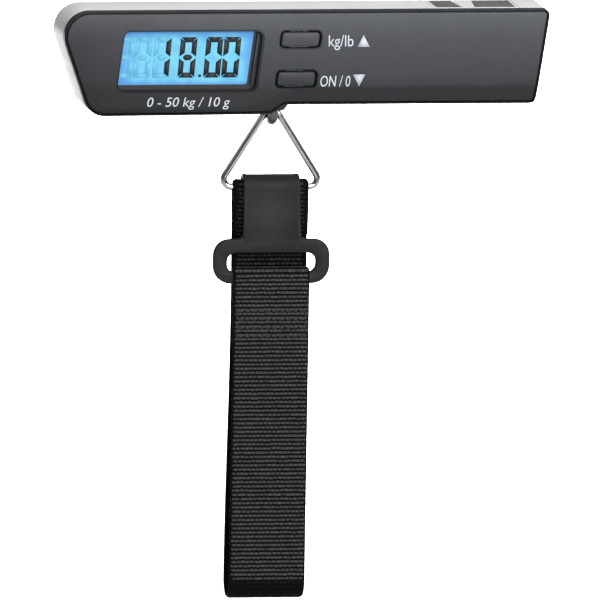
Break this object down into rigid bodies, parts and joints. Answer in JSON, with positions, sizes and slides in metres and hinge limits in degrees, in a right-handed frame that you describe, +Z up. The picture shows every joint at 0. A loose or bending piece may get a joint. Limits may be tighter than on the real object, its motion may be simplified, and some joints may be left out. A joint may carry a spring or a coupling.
{
  "type": "digital luggage scale",
  "caption": "Handheld digital luggage scale: a handle bar with display, buttons and load cell, and a hook-buckle webbing strap on a steel ring.",
  "frame": {"origin": "half way up the handle bar, on the vertical line that the load hangs from, in the middle of the bar's depth", "axes": "+X along the bar to its square end, +Y to the back of the bar, +Z up; the strap hangs along -Z and the display faces -Y"},
  "size_m": [0.1568, 0.0261, 0.1914],
  "materials": {
    "silver_plastic": "satin silver",
    "charcoal_plastic": "satin",
    "black_plastic": "satin",
    "display_glass": "lit",
    "diffuser": "matte",
    "rubber": "matte",
    "circuit_board": "solder mask",
    "epoxy": "gloss",
    "aluminium": "milled",
    "steel": "zinc plated",
    "chrome_wire": "polished",
    "foil": "polyimide film",
    "red_wire": "satin",
    "black_wire": "satin",
    "buckle_plastic": "satin moulded",
    "webbing": "ribbed polyester weave"
  },
  "bodies": {
    "handle": {"rear_shell": "silver_plastic", "front_cover": "charcoal_plastic", "face_panel": "charcoal_plastic", "case_screw_1": "steel", "case_screw_2": "steel", "case_screw_3": "steel", "case_screw_4": "steel", "display_glass": "display_glass", "backlight_panel": "diffuser", "display_frame": "black_plastic", "zebra_connector": "rubber", "main_board": "circuit_board", "controller_chip": "epoxy", "unit_switch": "steel", "zero_switch": "steel", "load_cell": "aluminium", "cell_bracket": "steel", "cell_screw_1": "steel", "cell_screw_2": "steel", "bracket_screw_1": "steel", "bracket_screw_2": "steel", "strain_gauge_top": "foil", "strain_gauge_bottom": "foil", "hook_eye": "chrome_wire", "eye_washer": "steel", "eye_nut": "steel", "hook_shroud": "black_plastic", "battery_holder": "black_plastic", "coin_cell": "steel", "battery_contact_negative": "steel", "battery_contact_positive": "steel", "battery_lead_positive": "red_wire", "battery_lead_negative": "black_wire", "gauge_lead": "black_wire"},
    "unit_button": {"unit_button": "charcoal_plastic"},
    "zero_button": {"zero_button": "charcoal_plastic"},
    "battery_door": {"battery_cover": "silver_plastic"},
    "ring": {"triangle_ring": "chrome_wire"},
    "strap_back": {"webbing_back_run": "webbing", "webbing_slack_run": "webbing"},
    "strap_front": {"webbing_front_run": "webbing", "webbing_fold": "webbing", "hook_buckle": "buckle_plastic"}
  },
  "joints": [
    {"name": "unit_button_press", "type": "slide", "parent": "handle", "child": "unit_button", "axis": [0, 1, 0], "range_m": [0, 0.0004], "stiffness_N_per_m": 600},
    {"name": "zero_button_press", "type": "slide", "parent": "handle", "child": "zero_button", "axis": [0, 1, 0], "range_m": [0, 0.0004], "stiffness_N_per_m": 600},
    {"name": "battery_cover_lift", "type": "slide", "parent": "handle", "child": "battery_door", "axis": [0, 0, 1], "range_m": [0, 0.01]},
    {"name": "ring_swing", "type": "hinge", "parent": "handle", "child": "ring", "pos_m": [0, 0, -0.017], "axis": [1, 0, 0], "range_deg": [-70, 70]},
    {"name": "strap_swing", "type": "hinge", "parent": "ring", "child": "strap_back", "pos_m": [0, 0, -0.0416], "axis": [1, 0, 0], "range_deg": [-90, 90]},
    {"name": "buckle_lift", "type": "slide", "parent": "strap_back", "child": "strap_front", "axis": [0, 0, 1], "range_m": [0, 0.006], "deforming": ["webbing_slack_run"]}
  ]
}
